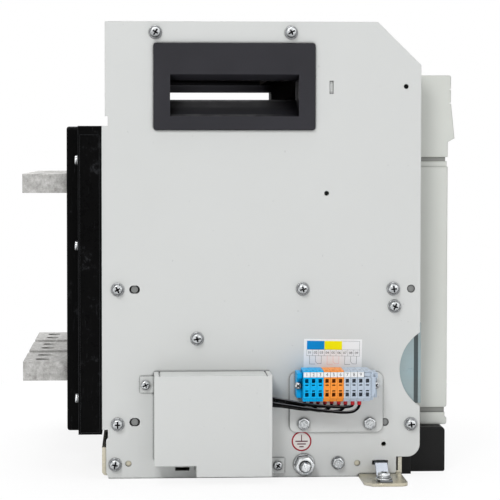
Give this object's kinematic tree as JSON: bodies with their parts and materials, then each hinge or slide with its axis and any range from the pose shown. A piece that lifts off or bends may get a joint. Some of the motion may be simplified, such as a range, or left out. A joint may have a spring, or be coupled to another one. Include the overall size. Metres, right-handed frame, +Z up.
{
  "type": "draw-out air circuit breaker",
  "caption": "Compact draw-out air circuit breaker in its sheet steel cradle, with rear bar terminals, racking unit, side grips and a row of spring terminals.",
  "frame": {"origin": "under the middle of the bounding box, on the surface that the cradle stands on", "axes": "+Z up, front cover towards -Y, main terminals towards +Y, -X is the side with the terminal strip"},
  "size_m": [0.342, 0.3405, 0.351],
  "materials": {
    "plate_grey": "light grey powder coat, satin",
    "zinc": "bright zinc plate",
    "yellow_zinc": "yellow passivated zinc",
    "charcoal_plastic": "fine texture charcoal",
    "black_moulding": "glossy black thermoset",
    "case_moulding": "dark thermoset",
    "tinned_copper": "tin plated copper, lightly oxidised",
    "cover_beige": "warm grey moulding",
    "blue_plastic": "blue polyamide",
    "orange_plastic": "orange polyamide",
    "grey_plastic": "light grey polyamide",
    "white_plastic": "white tags",
    "red_plastic": "red sleeves and off button",
    "green_plastic": "green on button",
    "wire_black": "black insulation"
  },
  "bodies": {
    "cradle": {"side_plate_left": "plate_grey", "side_plate_right": "plate_grey", "rail_guides": "zinc", "side_handles": "charcoal_plastic", "base_pan": "zinc", "foot_bars": "yellow_zinc", "foot_straps": "zinc", "frame_screws": "zinc", "tie_bars": "zinc", "rear_housing": "black_moulding", "terminal_carrier": "black_moulding", "main_terminals": "tinned_copper", "jaw_fingers": "tinned_copper", "racking_housing": "black_moulding", "wiring_cover": "plate_grey", "side_screws": "zinc", "position_switches": "case_moulding", "terminals_blue": "blue_plastic", "terminals_orange": "orange_plastic", "terminals_grey": "grey_plastic", "marker_tags": "white_plastic", "strip_screws": "zinc", "terminal_plate": "zinc", "wire_ferrules": "red_plastic", "wire_harness": "wire_black", "earth_point": "zinc", "auxiliary_socket": "case_moulding"},
    "left_rail": {"rail_left": "zinc"},
    "right_rail": {"rail_right": "zinc"},
    "upper_shutter": {"shutter_upper": "case_moulding"},
    "lower_shutter": {"shutter_lower": "case_moulding"},
    "spindle": {"racking_spindle": "zinc"},
    "carriage": {"racking_carriage": "zinc"},
    "indicator": {"position_indicator": "white_plastic"},
    "release": {"release_button": "red_plastic"},
    "padlock": {"padlock_tab": "zinc"},
    "crank": {"crank_handle": "zinc"},
    "breaker": {"breaker_chassis": "zinc", "support_rollers": "zinc", "pole_base": "case_moulding", "pole_case": "case_moulding", "arc_chutes": "case_moulding", "main_blades": "tinned_copper", "mechanism_frame": "zinc", "closing_spring": "zinc", "auxiliary_plug": "case_moulding", "cover_main": "cover_beige", "cover_upper": "cover_beige", "cover_skirt": "cover_beige", "cover_frame": "charcoal_plastic", "control_panel": "charcoal_plastic", "trip_unit": "charcoal_plastic"},
    "shaft": {"main_shaft": "zinc"},
    "on_push": {"on_button": "green_plastic"},
    "off_push": {"off_button": "red_plastic"},
    "contact_flag": {"contact_indicator": "white_plastic"},
    "charge_flag": {"charge_indicator": "white_plastic"},
    "lever": {"charging_lever": "charcoal_plastic"}
  },
  "joints": [
    {"name": "left_rail_slide", "type": "slide", "parent": "cradle", "child": "left_rail", "axis": [0, -1, 0], "range_m": [0, 0.18]},
    {"name": "right_rail_slide", "type": "slide", "parent": "cradle", "child": "right_rail", "axis": [0, -1, 0], "range_m": [0, 0.18]},
    {"name": "breaker_racking", "type": "slide", "parent": "left_rail", "child": "breaker", "axis": [0, -1, 0], "range_m": [0, 0.065]},
    {"name": "spindle_turn", "type": "hinge", "parent": "cradle", "child": "spindle", "pos_m": [0, -0.1, 0.021], "axis": [0, -1, 0], "range_deg": [0, 4685]},
    {"name": "carriage_slide", "type": "slide", "parent": "cradle", "child": "carriage", "axis": [0, -1, 0], "range_m": [0, 0.065]},
    {"name": "upper_shutter_drop", "type": "slide", "parent": "cradle", "child": "upper_shutter", "axis": [0, 0, -1], "range_m": [0, 0.0275]},
    {"name": "lower_shutter_lift", "type": "slide", "parent": "cradle", "child": "lower_shutter", "axis": [0, 0, 1], "range_m": [0, 0.0275]},
    {"name": "indicator_slide", "type": "slide", "parent": "cradle", "child": "indicator", "axis": [1, 0, 0], "range_m": [0, 0.024]},
    {"name": "release_push", "type": "slide", "parent": "cradle", "child": "release", "axis": [0, 1, 0], "range_m": [0, 0.004], "stiffness_N_per_m": 300},
    {"name": "padlock_tab_pull", "type": "slide", "parent": "cradle", "child": "padlock", "axis": [0, -1, 0], "range_m": [0, 0.012]},
    {"name": "crank_pull", "type": "slide", "parent": "cradle", "child": "crank", "axis": [0, -1, 0], "range_m": [0, 0.085]},
    {"name": "shaft_turn", "type": "hinge", "parent": "breaker", "child": "shaft", "pos_m": [0, -0.062, 0.15], "axis": [1, 0, 0], "range_deg": [0, 50]},
    {"name": "contact_flag_turn", "type": "hinge", "parent": "breaker", "child": "contact_flag", "pos_m": [0.026, -0.1455, 0.208], "axis": [1, 0, 0], "range_deg": [0, 50]},
    {"name": "charge_flag_turn", "type": "hinge", "parent": "breaker", "child": "charge_flag", "pos_m": [0.026, -0.1455, 0.188], "axis": [1, 0, 0], "range_deg": [0, 50]},
    {"name": "lever_swing", "type": "hinge", "parent": "breaker", "child": "lever", "pos_m": [0.07, -0.153, 0.092], "axis": [1, 0, 0], "range_deg": [0, 80], "stiffness_Nm_per_rad": 0.4},
    {"name": "on_push_travel", "type": "slide", "parent": "breaker", "child": "on_push", "axis": [0, 1, 0], "range_m": [0, 0.004], "stiffness_N_per_m": 300},
    {"name": "off_push_travel", "type": "slide", "parent": "breaker", "child": "off_push", "axis": [0, 1, 0], "range_m": [0, 0.004], "stiffness_N_per_m": 300}
  ],
  "couplings": [
    {"joint": "right_rail_slide", "follows": "left_rail_slide", "ratio": 1},
    {"joint": "spindle_turn", "follows": "breaker_racking", "rad_per_m": 1256.6},
    {"joint": "carriage_slide", "follows": "breaker_racking", "ratio": 1},
    {"joint": "upper_shutter_drop", "follows": "breaker_racking", "ratio": 0.423},
    {"joint": "lower_shutter_lift", "follows": "breaker_racking", "ratio": 0.423},
    {"joint": "indicator_slide", "follows": "breaker_racking", "ratio": 0.369},
    {"joint": "contact_flag_turn", "follows": "shaft_turn", "ratio": 1}
  ]
}
